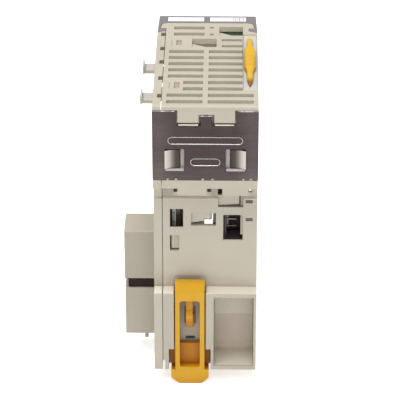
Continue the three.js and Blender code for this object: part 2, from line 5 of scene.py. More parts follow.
import bmesh
import bpy
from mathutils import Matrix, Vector


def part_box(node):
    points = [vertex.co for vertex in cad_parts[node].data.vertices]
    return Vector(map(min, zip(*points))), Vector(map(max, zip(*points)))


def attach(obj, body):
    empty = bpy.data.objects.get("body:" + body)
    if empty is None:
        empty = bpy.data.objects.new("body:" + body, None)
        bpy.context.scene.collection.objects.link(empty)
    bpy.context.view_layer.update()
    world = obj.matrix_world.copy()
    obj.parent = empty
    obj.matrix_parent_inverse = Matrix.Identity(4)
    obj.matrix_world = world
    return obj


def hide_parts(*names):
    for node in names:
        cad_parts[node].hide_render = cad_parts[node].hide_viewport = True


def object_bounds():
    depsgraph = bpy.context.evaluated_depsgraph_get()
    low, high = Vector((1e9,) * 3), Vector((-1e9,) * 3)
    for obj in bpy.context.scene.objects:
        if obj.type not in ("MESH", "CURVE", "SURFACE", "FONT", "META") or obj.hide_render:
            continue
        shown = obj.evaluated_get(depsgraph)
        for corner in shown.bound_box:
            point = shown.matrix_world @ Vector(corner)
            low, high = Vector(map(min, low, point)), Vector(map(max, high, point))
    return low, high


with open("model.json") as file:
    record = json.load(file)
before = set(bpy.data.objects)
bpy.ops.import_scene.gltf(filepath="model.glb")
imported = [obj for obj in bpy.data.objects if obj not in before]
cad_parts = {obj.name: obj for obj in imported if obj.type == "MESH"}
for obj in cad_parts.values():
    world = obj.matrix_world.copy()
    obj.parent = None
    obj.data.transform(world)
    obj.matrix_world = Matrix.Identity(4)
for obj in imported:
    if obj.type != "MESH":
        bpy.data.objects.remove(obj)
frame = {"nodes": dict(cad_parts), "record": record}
cad_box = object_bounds()

MM = 0.001
scene = bpy.context.scene


def box_mm(node):
    """A CAD node's corners at rest, in millimetres."""
    low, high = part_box(node)
    return low / MM, high / MM


CASE_LOW, CASE_HIGH = box_mm("main_case")
PLATE_LOW, PLATE_HIGH = box_mm("rear_plate")


# ---------- camera, floor and light ----------
CAMERA_PLACE = Vector((-6.89, 598.30, 333.32))
CAMERA_AIM = Vector((1.83, -15.3, 3.57))
FOCAL_LENGTH, SENSOR_WIDTH = 205.35, 36

# name: (place, point it looks at, size, watts), in metres
SOFTBOXES = {
    "rear_softbox": ((0.24, 1.75, 3.15), (0, 0, 0), (2.7, 2.1), 40),
    "low_softbox": ((-0.3, 3.45, 0.9), (0, 0, 0), (2.7, 1.5), 5),
    "top_softbox": ((0.6, 0.0, 3.3), (0, -0.02, 0), (2.7, 2.7), 114),
    "left_softbox": ((3.0, 1.5, 1.05), (0, 0, 0), (1.8, 2.4), 5),
    "right_softbox": ((-3.3, 1.2, 1.35), (0, 0, 0), (1.8, 2.4), 4.5),
}
WORLD_GLOW = 0.46
FLOOR_REACH = 6.0
FLOOR_ALBEDO = 0.95
FLOOR_GLOW = 0.5


def aim_at(item, place, target):
    """Stands a camera or a light at a place and turns it to a target, both in metres."""
    item.location = place
    item.rotation_euler = (Vector(target) - Vector(place)).to_track_quat("-Z", "Y").to_euler()


def make_camera():
    """Behind and above the module, looking at its rear face with a long lens."""
    data = bpy.data.cameras.new("camera")
    data.sensor_width = SENSOR_WIDTH
    data.lens = FOCAL_LENGTH
    data.clip_start, data.clip_end = 0.05, 20
    camera = bpy.data.objects.new("camera", data)
    scene.collection.objects.link(camera)
    aim_at(camera, CAMERA_PLACE * MM, CAMERA_AIM * MM)
    scene.camera = camera


def area_light(name, place, target, size, power):
    """A rectangular softbox of plain white light."""
    data = bpy.data.lights.new(name, "AREA")
    data.shape = "RECTANGLE"
    data.size, data.size_y = size
    data.energy = power
    light = bpy.data.objects.new(name, data)
    scene.collection.objects.link(light)
    aim_at(light, place, target)


def make_floor():
    """A plain pale floor under the module's lowest point."""
    floor_mesh = bpy.data.meshes.new("floor")
    reach, z = FLOOR_REACH, cad_box[0].z
    floor_mesh.from_pydata(
        [(-reach, -reach, z), (reach, -reach, z), (reach, reach, z), (-reach, reach, z)], [], [(0, 1, 2, 3)])
    floor = bpy.data.objects.new("floor", floor_mesh)
    scene.collection.objects.link(floor)
    paint = bpy.data.materials.new("floor_paint")
    paint.use_nodes = True
    shader = paint.node_tree.nodes["Principled BSDF"]
    shader.inputs["Base Color"].default_value = (FLOOR_ALBEDO, FLOOR_ALBEDO, FLOOR_ALBEDO, 1)
    shader.inputs["Roughness"].default_value = 0.9
    shader.inputs["Emission Color"].default_value = (1, 1, 1, 1)
    shader.inputs["Emission Strength"].default_value = FLOOR_GLOW
    floor_mesh.materials.append(paint)


def make_studio():
    """Soft white light from all round, and softboxes above, behind and on both sides."""
    world = bpy.data.worlds.new("studio")
    world.use_nodes = True
    background = world.node_tree.nodes["Background"]
    background.inputs["Color"].default_value = (1, 1, 1, 1)
    background.inputs["Strength"].default_value = WORLD_GLOW
    scene.world = world
    make_floor()
    for name, (place, target, size, power) in SOFTBOXES.items():
        area_light(name, place, target, size, power)
    scene.view_settings.view_transform = "Standard"


# ---------- materials ----------
class Paint:
    """A node material with small helpers; texture sizes are in millimetres."""

    def __init__(self, name):
        self.material = bpy.data.materials.new(name)
        self.material.use_nodes = True
        self.tree = self.material.node_tree
        self.shader = self.tree.nodes["Principled BSDF"]
        coordinates = self.tree.nodes.new("ShaderNodeTexCoord")
        to_mm = self.tree.nodes.new("ShaderNodeVectorMath")
        to_mm.operation = "SCALE"
        to_mm.inputs["Scale"].default_value = 1 / MM
        self.tree.links.new(coordinates.outputs["Object"], to_mm.inputs[0])
        self.place = to_mm.outputs[0]
        self.normal = coordinates.outputs["Normal"]

    def set(self, **values):
        for name, value in values.items():
            self.shader.inputs[name.replace("_", " ")].default_value = value
        return self

    def parts(self, vector):
        """The vector's X, Y and Z."""
        node = self.tree.nodes.new("ShaderNodeSeparateXYZ")
        self.tree.links.new(vector, node.inputs[0])
        return node.outputs

    def noise(self, size, detail=3.0, stretch=None):
        """Smooth noise whose features are about size millimetres; stretch scales X, Y and Z."""
        node = self.tree.nodes.new("ShaderNodeTexNoise")
        node.inputs["Scale"].default_value = 1 / size
        node.inputs["Detail"].default_value = detail
        source = self.place
        if stretch:
            scale = self.tree.nodes.new("ShaderNodeVectorMath")
            scale.operation = "MULTIPLY"
            scale.inputs[1].default_value = stretch
            self.tree.links.new(source, scale.inputs[0])
            source = scale.outputs[0]
        self.tree.links.new(source, node.inputs["Vector"])
        return node.outputs["Fac"]

    def ramp(self, value, stops):
        node = self.tree.nodes.new("ShaderNodeValToRGB")
        ends = node.color_ramp.elements
        for index, (position, colour) in enumerate(stops):
            stop = ends[index] if index < 2 else ends.new(position)
            stop.position = position
            stop.color = (*colour, 1)
        self.tree.links.new(value, node.inputs[0])
        return node.outputs["Color"]

    def mix(self, factor, first, second, blend="MIX"):
        node = self.tree.nodes.new("ShaderNodeMix")
        node.data_type = "RGBA"
        node.blend_type = blend
        for socket, value in ((node.inputs[0], factor), (node.inputs[6], first), (node.inputs[7], second)):
            if isinstance(value, bpy.types.NodeSocket):
                self.tree.links.new(value, socket)
            elif isinstance(value, (int, float)):
                socket.default_value = value
            else:
                socket.default_value = (*value, 1)
        return node.outputs[2]

    def tint(self, tone, colours, where=1.0):
        """Multiplies tone by colours, where that mask is 1."""
        return self.mix(where, tone, colours, "MULTIPLY")

    def spread(self, value, low, high, start=0.3, end=0.7):
        """Maps value's span start to end onto low to high."""
        node = self.tree.nodes.new("ShaderNodeMapRange")
        node.inputs["To Min"].default_value = low
        node.inputs["To Max"].default_value = high
        node.inputs["From Min"].default_value = start
        node.inputs["From Max"].default_value = end
        self.tree.links.new(value, node.inputs["Value"])
        return node.outputs["Result"]

    def calculate(self, operation, first, second=None):
        node = self.tree.nodes.new("ShaderNodeMath")
        node.operation = operation
        self.tree.links.new(first, node.inputs[0])
        if second is not None:
            self.tree.links.new(second, node.inputs[1])
        return node.outputs[0]

    def within(self, value, low, high):
        """1 where value lies between low and high, else 0."""
        node = self.tree.nodes.new("ShaderNodeMath")
        node.operation = "COMPARE"
        node.inputs[1].default_value = (low + high) / 2
        node.inputs[2].default_value = (high - low) / 2
        self.tree.links.new(value, node.inputs[0])
        return node.outputs[0]

    def both(self, first, second):
        """1 where both masks are 1."""
        return self.calculate("MULTIPLY", first, second)

    def crevices(self, reach):
        """1 on open surfaces, falling to 0 deep in corners."""
        node = self.tree.nodes.new("ShaderNodeAmbientOcclusion")
        node.inputs["Distance"].default_value = reach * MM
        node.samples = 6
        return node.outputs["AO"]

    def bump(self, height, depth):
        node = self.tree.nodes.new("ShaderNodeBump")
        node.inputs["Strength"].default_value = 1.0
        node.inputs["Distance"].default_value = depth * MM
        self.tree.links.new(height, node.inputs["Height"])
        self.tree.links.new(node.outputs["Normal"], self.shader.inputs["Normal"])
        return self

    def colour(self, socket):
        self.tree.links.new(socket, self.shader.inputs["Base Color"])
        return self

    def roughness(self, socket):
        self.tree.links.new(socket, self.shader.inputs["Roughness"])
        return self


def shade(colour, factor):
    """The colour made darker or paler, no brighter than white."""
    return tuple(min(1.0, channel * factor) for channel in colour)


def grey(level):
    return (level, level, level)


# base colours, linear red, green and blue
FINISH = {
    # case and its moulded relatives
    "case_beige": (0.385, 0.348, 0.281), "connector_beige": (0.34, 0.306, 0.248),
    "bezel_grey": (0.162, 0.151, 0.157), "nylon_white": (0.95, 0.94, 0.92),
    "part_black": (0.030, 0.022, 0.022), "terminal_grey": (0.035, 0.033, 0.037),
    "connector_black": (0.075, 0.048, 0.055), "insulator_black": (0.019, 0.012, 0.010),
    "latch_yellow": (0.505, 0.272, 0.014), "slider": (0.54, 0.322, 0.015),
    "smoke_window": (0.035, 0.034, 0.038), "light_off": (0.24, 0.33, 0.20),
    # thin sheets on the case, from palest to darkest: the pale ones carry painted light, the dark ones
    # painted shade, and channel_skin is also the channel's own grey
    "painted_light_skin": (0.65, 0.60, 0.50), "shelf_skin": (0.59, 0.545, 0.455), "pocket_floor": (0.55, 0.505, 0.42),
    "pocket_skin": (0.515, 0.45, 0.37), "pocket_back": (0.515, 0.45, 0.37),
    "channel_skin": (0.415, 0.406, 0.378), "thin_skin": (0.39, 0.37, 0.345),
    "shaded_floor": (0.30, 0.265, 0.205), "tongue_shade": (0.20, 0.13, 0.06),
    "deep_shade": (0.10, 0.087, 0.068),
    # metal; plate_steel is darker than bare steel, a painted dark reflection, and the bend and edge colours
    # below are painted highlights
    "plate_steel": (0.049, 0.038, 0.0368), "bend_highlight": (0.44, 0.405, 0.37), "worn_edge": (0.68, 0.655, 0.63),
    "rubbed_edge": (0.97, 0.96, 0.94), "contact_plated": (0.62, 0.6, 0.55), "can_grey": (0.5, 0.49, 0.48),
    "tin": (0.13, 0.12, 0.115),
    # boards, labels and print
    # board_green is paler than the board's own green: painted light on boards that lie in the case's shade
    "board_green": (0.38, 0.56, 0.35), "sleeve": (0.055, 0.042, 0.036), "sleeve_stripe": (0.62, 0.61, 0.58),
    "label_white": (0.80, 0.79, 0.78), "ink_red": (0.62, 0.30, 0.40), "print_white": (0.75, 0.75, 0.74),
}

WHITE = grey(1)
TOP_LIGHT_GAIN = 1.14              # painted light: faces that look up are made this much paler
LIT_TOP_NORMAL = (0.4, 0.9)    # Z of the normal where the painted top light starts and where it is full
FACING_OUT = (0.5, 1.1)      # Y of the normal on faces that look to +Y
CLEAR_CORNERS = 0.8          # how much of the painted corner shade goes above clear_above
CLOUD_SIZE = 14
# painted shade in corners and creases, by how open the surface is
CORNER_SHADE = ((0.15, (0.93, 0.91, 0.88)), (0.85, WHITE))
# the brown painted shade in the corners of the latch and the slider
BROWN_SHADE = ((0.3, (0.90, 0.74, 0.52)), (0.72, (0.95, 0.85, 0.71)), (0.97, WHITE))


def moulded_plastic(name, colour, rough=0.5, grain=0.22, depth=0.012, sheen=0.4, reach=0.9, corners=CORNER_SHADE,
                    along_y=None, clear_above=None, vents=None, along_z=None):
    """Injection-moulded plastic: spark-eroded grain, faint flow clouds, painted shade in corners and painted
    light on faces that look up.

    corners is the painted shade that tints what lies within reach millimetres of a corner.
    along_y is (first Y, last Y, stops): a tint that runs along Y, in millimetres.
    clear_above: above this Z both of those fade out.
    vents is (low Z, high Z, low Y, high Y, gain): painted light that makes vent walls there paler where they
    face +Y.
    along_z is (first Z, last Z, stops): a tint that runs along Z on faces that look to +Y, mostly painted
    light.
    """
    paint = Paint(name)
    place, facing = paint.parts(paint.place), paint.parts(paint.normal)
    clouds = paint.noise(CLOUD_SIZE, 2)
    speckle = paint.noise(grain, 2)
    tone = paint.ramp(clouds, [(0.32, shade(colour, 0.955)), (0.68, shade(colour, 1.03))])
    grains = paint.ramp(speckle, [(0.35, shade(colour, 0.72)), (0.65, shade(colour, 1.2))])
    tone = paint.mix(0.10, tone, grains)
    # painted shade in corners
    corner = paint.ramp(paint.crevices(reach), corners)
    # painted light on faces that look up
    lit_top = paint.spread(facing["Z"], 0.0, 1.0, *LIT_TOP_NORMAL)
    tone = paint.tint(tone, paint.ramp(lit_top, [(0.0, WHITE), (1.0, grey(TOP_LIGHT_GAIN))]))
    if along_y:
        start, full, stops = along_y
        along = paint.spread(place["Y"], 0.0, 1.0, start, full)
        if clear_above is not None:
            above = (clear_above - 1.0, clear_above)
            along = paint.calculate("MAXIMUM", along, paint.spread(place["Z"], 0.0, 1.0, *above))
            corner = paint.mix(paint.spread(place["Z"], 0.0, CLEAR_CORNERS, *above), corner, WHITE)
        tone = paint.tint(tone, paint.ramp(along, stops))
    tone = paint.tint(tone, corner)
    # painted light: vent walls made paler where they face +Y
    if vents:
        low, high, first, last, gain = vents
        walls = paint.both(paint.within(place["Z"], low, high), paint.within(place["Y"], first, last))
        tone = paint.tint(tone, grey(gain), paint.both(walls, paint.within(facing["Y"], *FACING_OUT)))
    if along_z:
        first, last, stops = along_z
        rise = paint.ramp(paint.spread(place["Z"], 0.0, 1.0, first, last), stops)
        tone = paint.tint(tone, rise, paint.within(facing["Y"], *FACING_OUT))
    paint.colour(tone)
    paint.roughness(paint.spread(paint.noise(3.5, 3), rough - 0.06, rough + 0.07))
    paint.set(Specular_IOR_Level=sheen)
    return paint.bump(speckle, depth).material


# painted reflections on the plate, paler towards its sides and its lower edge, and across each bent finger a
# painted highlight fading into painted shade; in millimetres, X is the distance from its middle line
REFLECTING_SIDES_X, SIDE_REFLECTION = (8.5, 15.0), [(0.0, WHITE), (0.8, (1.55, 1.6, 1.55)), (1.0, (1.45, 1.48, 1.45))]
LOW_EDGE_Z, LOW_EDGE = (27.0, 21.5), [(0.0, WHITE), (1.0, (1.32, 1.36, 1.3))]
FINGER_X, FINGER_Z = (7.3, 11.85), (24.4, 30.6)
FINGER_CURVE_X = (7.4, 11.9)
FINGER_TONES = [
    (0.0, (0.040, 0.033, 0.028)), (0.3, (0.056, 0.047, 0.040)), (0.5, (0.135, 0.118, 0.104)),
    (0.7, (0.30, 0.275, 0.25)), (1.0, (0.41, 0.385, 0.36))]


def rolled_steel(name, colour, bright, rough=0.3):
    """Spring steel with rolling lines, its dark colour a painted dark reflection; bends and sheared edges
    carry a painted highlight, the sides and lower edge painted reflections, and the fingers a painted
    highlight fading into painted shade.
    """
    paint = Paint(name)
    lines = paint.noise(0.35, 2, (0.05, 1, 1))
    smudges = paint.noise(7, 4)
    place = paint.parts(paint.place)
    outward = paint.calculate("ABSOLUTE", place["X"])
    tone = paint.ramp(smudges, [(0.3, shade(colour, 0.86)), (0.7, shade(colour, 1.14))])
    tone = paint.mix(0.14, tone, paint.ramp(lines, [(0.35, shade(colour, 0.7)), (0.65, shade(colour, 1.5))]))
    # painted reflections: paler towards the sides and the lower edge
    tone = paint.tint(tone, paint.ramp(paint.spread(outward, 0.0, 1.0, *REFLECTING_SIDES_X), SIDE_REFLECTION))
    tone = paint.tint(tone, paint.ramp(paint.spread(place["Z"], 0.0, 1.0, *LOW_EDGE_Z), LOW_EDGE))
    # painted highlight on bends and sheared edges, where the normal turns away from +Y
    bent = paint.ramp(paint.parts(paint.normal)["Y"], [(0.93, WHITE), (0.995, (0, 0, 0))])
    surface = paint.mix(bent, tone, bright)
    # painted highlight on the finger's outer bend, fading to painted shade at its inner end
    finger = paint.ramp(paint.spread(outward, 0.0, 1.0, *FINGER_CURVE_X), FINGER_TONES)
    on_finger = paint.both(paint.within(outward, *FINGER_X), paint.within(place["Z"], *FINGER_Z))
    paint.colour(paint.mix(on_finger, surface, finger))
    paint.roughness(paint.spread(smudges, rough - 0.05, rough + 0.1))
    paint.set(Metallic=1.0)
    return paint.bump(lines, 0.003).material


def plated_metal(name, colour):
    """Dull plating with fine tool marks."""
    paint = Paint(name)
    marks = paint.noise(0.6, 3)
    paint.colour(paint.ramp(marks, [(0.3, shade(colour, 0.8)), (0.7, shade(colour, 1.1))]))
    paint.roughness(paint.spread(paint.noise(1.5, 2), 0.22, 0.38))
    paint.set(Metallic=1.0)
    return paint.bump(marks, 0.004).material


def worn_edge(name, colour):
    """Painted highlight: bright steel along a pressed edge, broken up by noise, with painted shade on the
    side that faces down.
    """
    paint = Paint(name)
    breakup = paint.noise(0.8, 3)
    tone = paint.ramp(paint.parts(paint.normal)["Z"], [(0.0, shade(colour, 0.42)), (0.25, colour)])
    paint.colour(paint.mix(0.25, tone, paint.ramp(breakup, [(0.3, shade(colour, 0.6)), (0.7, colour)])))
    paint.roughness(paint.spread(breakup, 0.25, 0.42))
    paint.set(Metallic=1.0)
    return paint.bump(breakup, 0.004).material


def circuit_board(name, colour):
    """Solder mask over copper: darker laminate, paler runs of track under the mask."""
    paint = Paint(name)
    brick = paint.tree.nodes.new("ShaderNodeTexBrick")
    brick.inputs["Scale"].default_value = 0.35
    brick.inputs["Mortar Size"].default_value = 0.09
    for part, factor in (("Color1", 1.0), ("Color2", 0.8), ("Mortar", 1.9)):
        brick.inputs[part].default_value = (*shade(colour, factor), 1)
    turn = paint.tree.nodes.new("ShaderNodeVectorRotate")
    turn.rotation_type = "EULER_XYZ"
    turn.inputs["Rotation"].default_value = (0.0, math.radians(90), math.radians(90))
    paint.tree.links.new(paint.place, turn.inputs["Vector"])
    paint.tree.links.new(turn.outputs["Vector"], brick.inputs["Vector"])
    weave = paint.noise(0.5, 2)
    paint.colour(paint.mix(0.25, brick.outputs["Color"], paint.ramp(
        weave, [(0.35, shade(colour, 0.6)), (0.65, shade(colour, 1.5))])))
    paint.roughness(paint.spread(weave, 0.28, 0.42))
    return paint.bump(brick.outputs["Fac"], -0.03).material


def coated_card(name, colour):
    """Smooth white card, or ink on it, with a faint trace of fibres."""
    paint = Paint(name)
    fibres = paint.noise(0.3, 4)
    paint.colour(paint.ramp(fibres, [(0.3, shade(colour, 0.97)), (0.7, shade(colour, 1.0))]))
    paint.roughness(paint.spread(fibres, 0.5, 0.62))
    return paint.bump(fibres, 0.004).material


# tints that run along Y or Z on one part, as stops from 0 to 1; painted shade on the latch deep inside,
# painted light on its case just over the ledge, a little darker below it, and painted light on the pocket
# near its floor
LATCH_DEPTH = ((0.0, (0.72, 0.49, 0.40)), (0.38, (0.76, 0.58, 0.48)), (1.0, WHITE))
SLIDER_NOSE = ((0.0, WHITE), (1.0, (0.42, 0.3, 0.3)))
LOWER_HALF = ((0.0, grey(0.92)), (0.597, grey(0.93)), (0.602, grey(1.28)), (0.66, grey(1.12)), (0.78, WHITE))
VENT_WALLS = (43.3, 44.93, -60.0, 2.0, 1.95)    # low Z, high Z, low Y, high Y, gain of the painted light on the vent walls
POCKET_HEIGHT = ((0.0, grey(1.42)), (0.25, grey(1.2)), (0.7, WHITE))

SMOOTH = dict(grain=0.6, depth=0.004)
GLOSSY = dict(grain=0.5, depth=0.004, sheen=0.5)
# what differs from the plain moulded look
PLASTICS = {
    "case_beige": {}, "connector_beige": {}, "bezel_grey": {}, "part_black": {}, "nylon_white": {},
    "terminal_grey": {}, "connector_black": {},
    "insulator_black": dict(rough=0.6, sheen=0.12),
    "smoke_window": dict(rough=0.14, grain=0.4, depth=0.001, sheen=0.5),
    "light_off": dict(rough=0.2, grain=0.5, depth=0.002, sheen=0.5),
    "sleeve": dict(GLOSSY, rough=0.3),
    "sleeve_stripe": dict(GLOSSY, rough=0.35),
    "painted_light_skin": dict(SMOOTH, rough=0.35),
    "shelf_skin": dict(SMOOTH, rough=0.35),
    "pocket_floor": dict(SMOOTH, rough=0.35),
    "pocket_skin": dict(SMOOTH, rough=0.45),
    "pocket_back": dict(SMOOTH, rough=0.45, along_z=(-43.5, -33.5, POCKET_HEIGHT)),
    "channel_skin": dict(SMOOTH, rough=0.3, sheen=0.5),
    "thin_skin": dict(SMOOTH, rough=0.4),
    "deep_shade": dict(SMOOTH, rough=0.6),
    "tongue_shade": dict(SMOOTH, rough=0.6),
    "shaded_floor": dict(rough=0.6, grain=0.9, depth=0.01),
    "latch_yellow": dict(rough=0.4, grain=0.3, depth=0.006, sheen=0.2, reach=3.2, corners=BROWN_SHADE,
                         along_y=(1.4, 4.7, LATCH_DEPTH), clear_above=-20.0),
    "slider": dict(rough=0.42, grain=0.3, depth=0.006, sheen=0.25, reach=1.6, corners=BROWN_SHADE,
                   along_y=(-13.2, -11.2, SLIDER_NOSE)),
}
OTHER_MATERIALS = {
    "board_green": circuit_board,
    "label_white": coated_card, "ink_red": coated_card, "print_white": coated_card,
    "contact_plated": plated_metal, "can_grey": plated_metal, "tin": plated_metal,
    "worn_edge": worn_edge, "rubbed_edge": worn_edge,
}


def make_materials():
    """Every material, by the name of its material slot or look."""
    made = {name: moulded_plastic(name, FINISH[name], **look) for name, look in PLASTICS.items()}
    for name, recipe in OTHER_MATERIALS.items():
        made[name] = recipe(name, FINISH[name])
    made["plate_steel"] = rolled_steel("plate_steel", FINISH["plate_steel"], FINISH["bend_highlight"])
    made["vented_beige"] = moulded_plastic(
        "vented_beige", FINISH["case_beige"], vents=VENT_WALLS,
        along_z=(CASE_LOW.z, 0.0, LOWER_HALF))
    return made


# ---------- edges of the carried-over pieces ----------
BEVELS = {
    "main_case": 0.18, "side_cover": 0.18, "front_bezel": 0.25, "rear_plate": 0.2, "din_latch": 0.35,
    "bus_plug_upper": 0.3, "bus_plug_lower": 0.3, "terminal_block": 0.2, "release_lever": 0.3,
    "top_slider": 0.18, "bottom_slider": 0.18,
}
PLAIN_BEVEL = 0.1

# nodes whose look differs from their material slot's
OWN_FINISH = {
    "rear_connector": "connector_black", "connector_pins": "tin", "main_case": "vented_beige",
    "bus_plug_insulator": "insulator_black",
}


def soften_edges(piece, width):
    """Merges the CAD's coplanar triangles, then rounds the edges that are left."""
    flat = piece.modifiers.new("merge_flats", "DECIMATE")
    flat.decimate_type = "DISSOLVE"
    flat.angle_limit = math.radians(1.0)
    bevel = piece.modifiers.new("round_edges", "BEVEL")
    bevel.width = width * MM
    bevel.segments = 2
    bevel.limit_method = "ANGLE"
    bevel.angle_limit = math.radians(32)
    bevel.use_clamp_overlap = True
    bevel.harden_normals = False
    normals = piece.modifiers.new("flat_normals", "WEIGHTED_NORMAL")
    normals.keep_sharp = True


def dress_cad(materials):
    """Gives every CAD node its material and its rounded edges."""
    slots = {row["node"]: row["material_slot"] for row in frame["record"]["subparts"]}
    for node, piece in frame["nodes"].items():
        piece.data.materials.clear()
        piece.data.polygons.foreach_set("use_smooth", [True] * len(piece.data.polygons))
        piece.data.materials.append(materials[OWN_FINISH.get(node, slots[node])])
        soften_edges(piece, BEVELS.get(node, PLAIN_BEVEL))


# ---------- mesh helpers ----------
def finish_piece(name, mesh, materials_used, body, width=0.0, smooth=True):
    """Links a mesh as a piece that rides on a body, with rounded edges if width (mm) is given."""
    piece = bpy.data.objects.new(name, mesh)
    scene.collection.objects.link(piece)
    for used in materials_used:
        mesh.materials.append(used)
    if smooth:
        mesh.polygons.foreach_set("use_smooth", [True] * len(mesh.polygons))
    if width:
        soften_edges(piece, width)
    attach(piece, body)
    return piece


def mesh_of(name, shape):
    """Turns a bmesh into a mesh whose faces point out, and frees it."""
    bmesh.ops.recalc_face_normals(shape, faces=shape.faces)
    mesh = bpy.data.meshes.new(name)
    shape.to_mesh(mesh)
    shape.free()
    return mesh


def rings_to_mesh(name, rings, closed_loop=False):
    """Skins a list of rings of points in millimetres, capped at both ends unless it is a loop."""
    shape = bmesh.new()
    rows = [[shape.verts.new(Vector(point) * MM) for point in ring] for ring in rings]
    pairs = list(zip(rows, rows[1:]))
    if closed_loop:
        pairs.append((rows[-1], rows[0]))
    for first, second in pairs:
        count = len(first)
        for i in range(count):
            shape.faces.new((first[i], first[(i + 1) % count], second[(i + 1) % count], second[i]))
    if not closed_loop:
        shape.faces.new(rows[0])
        shape.faces.new(list(reversed(rows[-1])))
    return mesh_of(name, shape)


def blocks_mesh(name, boxes):
    """Several boxes in one mesh; each is (x0, x1, y0, y1, z0, z1) in millimetres."""
    shape = bmesh.new()
    for x0, x1, y0, y1, z0, z1 in boxes:
        corners = [shape.verts.new((x * MM, y * MM, z * MM)) for z in (z0, z1) for x, y in (
            (x0, y0), (x1, y0), (x1, y1), (x0, y1))]
        for face in ((3, 2, 1, 0), (4, 5, 6, 7), (0, 1, 5, 4), (1, 2, 6, 5), (2, 3, 7, 6), (3, 0, 4, 7)):
            shape.faces.new([corners[i] for i in face])
    return mesh_of(name, shape)


def add_blocks(name, boxes, material, width=0.0, body="root"):
    """Several boxes as one piece with flat faces."""
    return finish_piece(name, blocks_mesh(name, boxes), [material], body, width, False)


def add_prism(name, profile, x0, x1, material, slot, width=0.0):
    """A (Y, Z) profile drawn out along X, as a piece with flat faces on the root body."""
    rings = [[(x, y, z) for y, z in profile] for x in (x0, x1)]
    return finish_piece(name, rings_to_mesh(name, rings), [material], "root", width, False)


def turned(outline, sides, centre=(0, 0)):
    """Rings round a vertical axis; outline is a list of (radius, Z)."""
    x, y = centre
    angles = [2 * math.pi * k / sides for k in range(sides)]
    return [[(x + r * math.cos(angle), y + r * math.sin(angle), z) for angle in angles] for r, z in outline]


# ---------- rear plate beads ----------
BEAD_TURN = 15    # degrees between two sections round a bead's end


def bead_rim(name, half, z0, z1, surface, material):
    """A painted highlight on the slope round a pressed bead, following the bead's outline."""
    radius = (z1 - z0) / 2
    middle = (z0 + z1) / 2
    straight = half - radius
    profile = [(0.15, 0.02), (0.02, 0.0), (-0.17, -0.26), (0.15, -0.26)]
    path = []
    for side in (1, -1):
        for degrees in range(90, -91, -BEAD_TURN):
            angle = math.radians(degrees)
            outward = (side * math.cos(angle), side * math.sin(angle))
            path.append(((side * straight, middle), outward))
    rings = [
        [(x + nx * (radius + out), surface + up, z + nz * (radius + out)) for out, up in profile]
        for (x, z), (nx, nz) in path]
    mesh = rings_to_mesh(name, rings, closed_loop=True)
    return finish_piece(name, mesh, [material], "root")


def make_bead_rims(materials):
    """Painted highlights on the rims of the plate's two beads: half length, and lower and upper edge from the
    plate's foot.
    """
    for name, half, z0, z1 in (("upper_bead_rim", 10.85, 11.75, 13.85), ("lower_bead_rim", 4.25, 4.75, 6.85)):
        bead_rim(name, half, PLATE_LOW.z + z0, PLATE_LOW.z + z1, PLATE_HIGH.y, materials["worn_edge"])


# ---------- lock sliders ----------
# (Y, half width, height over the case face)
SLIDER_FORM = [
    (-42.0, 0.45, 0.3), (-41.8, 0.72, 0.7), (-41.2, 0.84, 0.85), (-35.6, 0.88, 0.9), (-34.9, 1.15, 1.15),
    (-34.3, 1.5, 1.5), (-33.6, 1.62, 1.7), (-31.0, 1.68, 1.8), (-26.0, 1.74, 1.9), (-21.8, 1.7, 1.85),
    (-20.4, 1.5, 1.6), (-19.0, 1.12, 1.25), (-17.6, 0.98, 1.1), (-13.6, 0.9, 1.05), (-12.4, 0.82, 0.95),
    (-11.2, 0.5, 0.7), (-9.8, 0.2, 0.4), (-9.4, 0.08, 0.25),
]
SLIDER_FRONT, SLIDER_TIP = SLIDER_FORM[0][0], SLIDER_FORM[-1][0]
SLIDER_SECTIONS = 150
SLIDER_FOOT = 0.6         # how deep the slider goes into its channel
ROUND_STEPS = 12
ROUND_POWER = 0.55        # below 1 the cross-section is squarer than an ellipse
RIB_FIRST, RIB_LAST, RIB_PITCH = -27.2, -20.6, 1.3
RIB_HEIGHT, RIB_SUNK, RIB_POWER = 0.75, 0.5, 0.8


def slider_at(y):
    """The slider's half width and height at y."""
    for (y0, w0, h0), (y1, w1, h1) in zip(SLIDER_FORM, SLIDER_FORM[1:]):
        if y <= y1:
            part = (y - y0) / (y1 - y0)
            return w0 + (w1 - w0) * part, h0 + (h1 - h0) * part
    return SLIDER_FORM[-1][1:]


def slider_ring(y, middle, face, side):
    """One cross-section, from one foot over the top to the other; face is the case face's Z."""
    half, height = slider_at(y)
    if RIB_FIRST < y < RIB_LAST:
        wave = max(0.0, math.sin(2 * math.pi * (y - RIB_FIRST) / RIB_PITCH)) ** RIB_POWER
        height += RIB_HEIGHT * wave - RIB_SUNK
    foot = face - side * SLIDER_FOOT
    ring = [(middle + half, y, foot), (middle + half, y, face)]
    for k in range(1, ROUND_STEPS):
        angle = math.pi * k / ROUND_STEPS
        across = math.copysign(abs(math.cos(angle)) ** ROUND_POWER, math.cos(angle))
        ring.append((middle + half * across, y, face + side * height * math.sin(angle) ** ROUND_POWER))
    return ring + [(middle - half, y, face), (middle - half, y, foot)]


def make_slider(node, material, body):
    """A barrel-shaped grip with soft ribs, a short tail and a pointed nose."""
    low, high = box_mm(node)
    middle = (low.x + high.x) / 2
    side = 1 if high.z > 0 else -1
    length = SLIDER_TIP - SLIDER_FRONT
    rings = [slider_ring(SLIDER_FRONT + length * i / SLIDER_SECTIONS, middle, side * CASE_HIGH.z, side)
             for i in range(SLIDER_SECTIONS + 1)]
    piece = finish_piece(node + "_grip", rings_to_mesh(node, rings), [material], body)
    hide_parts(node)


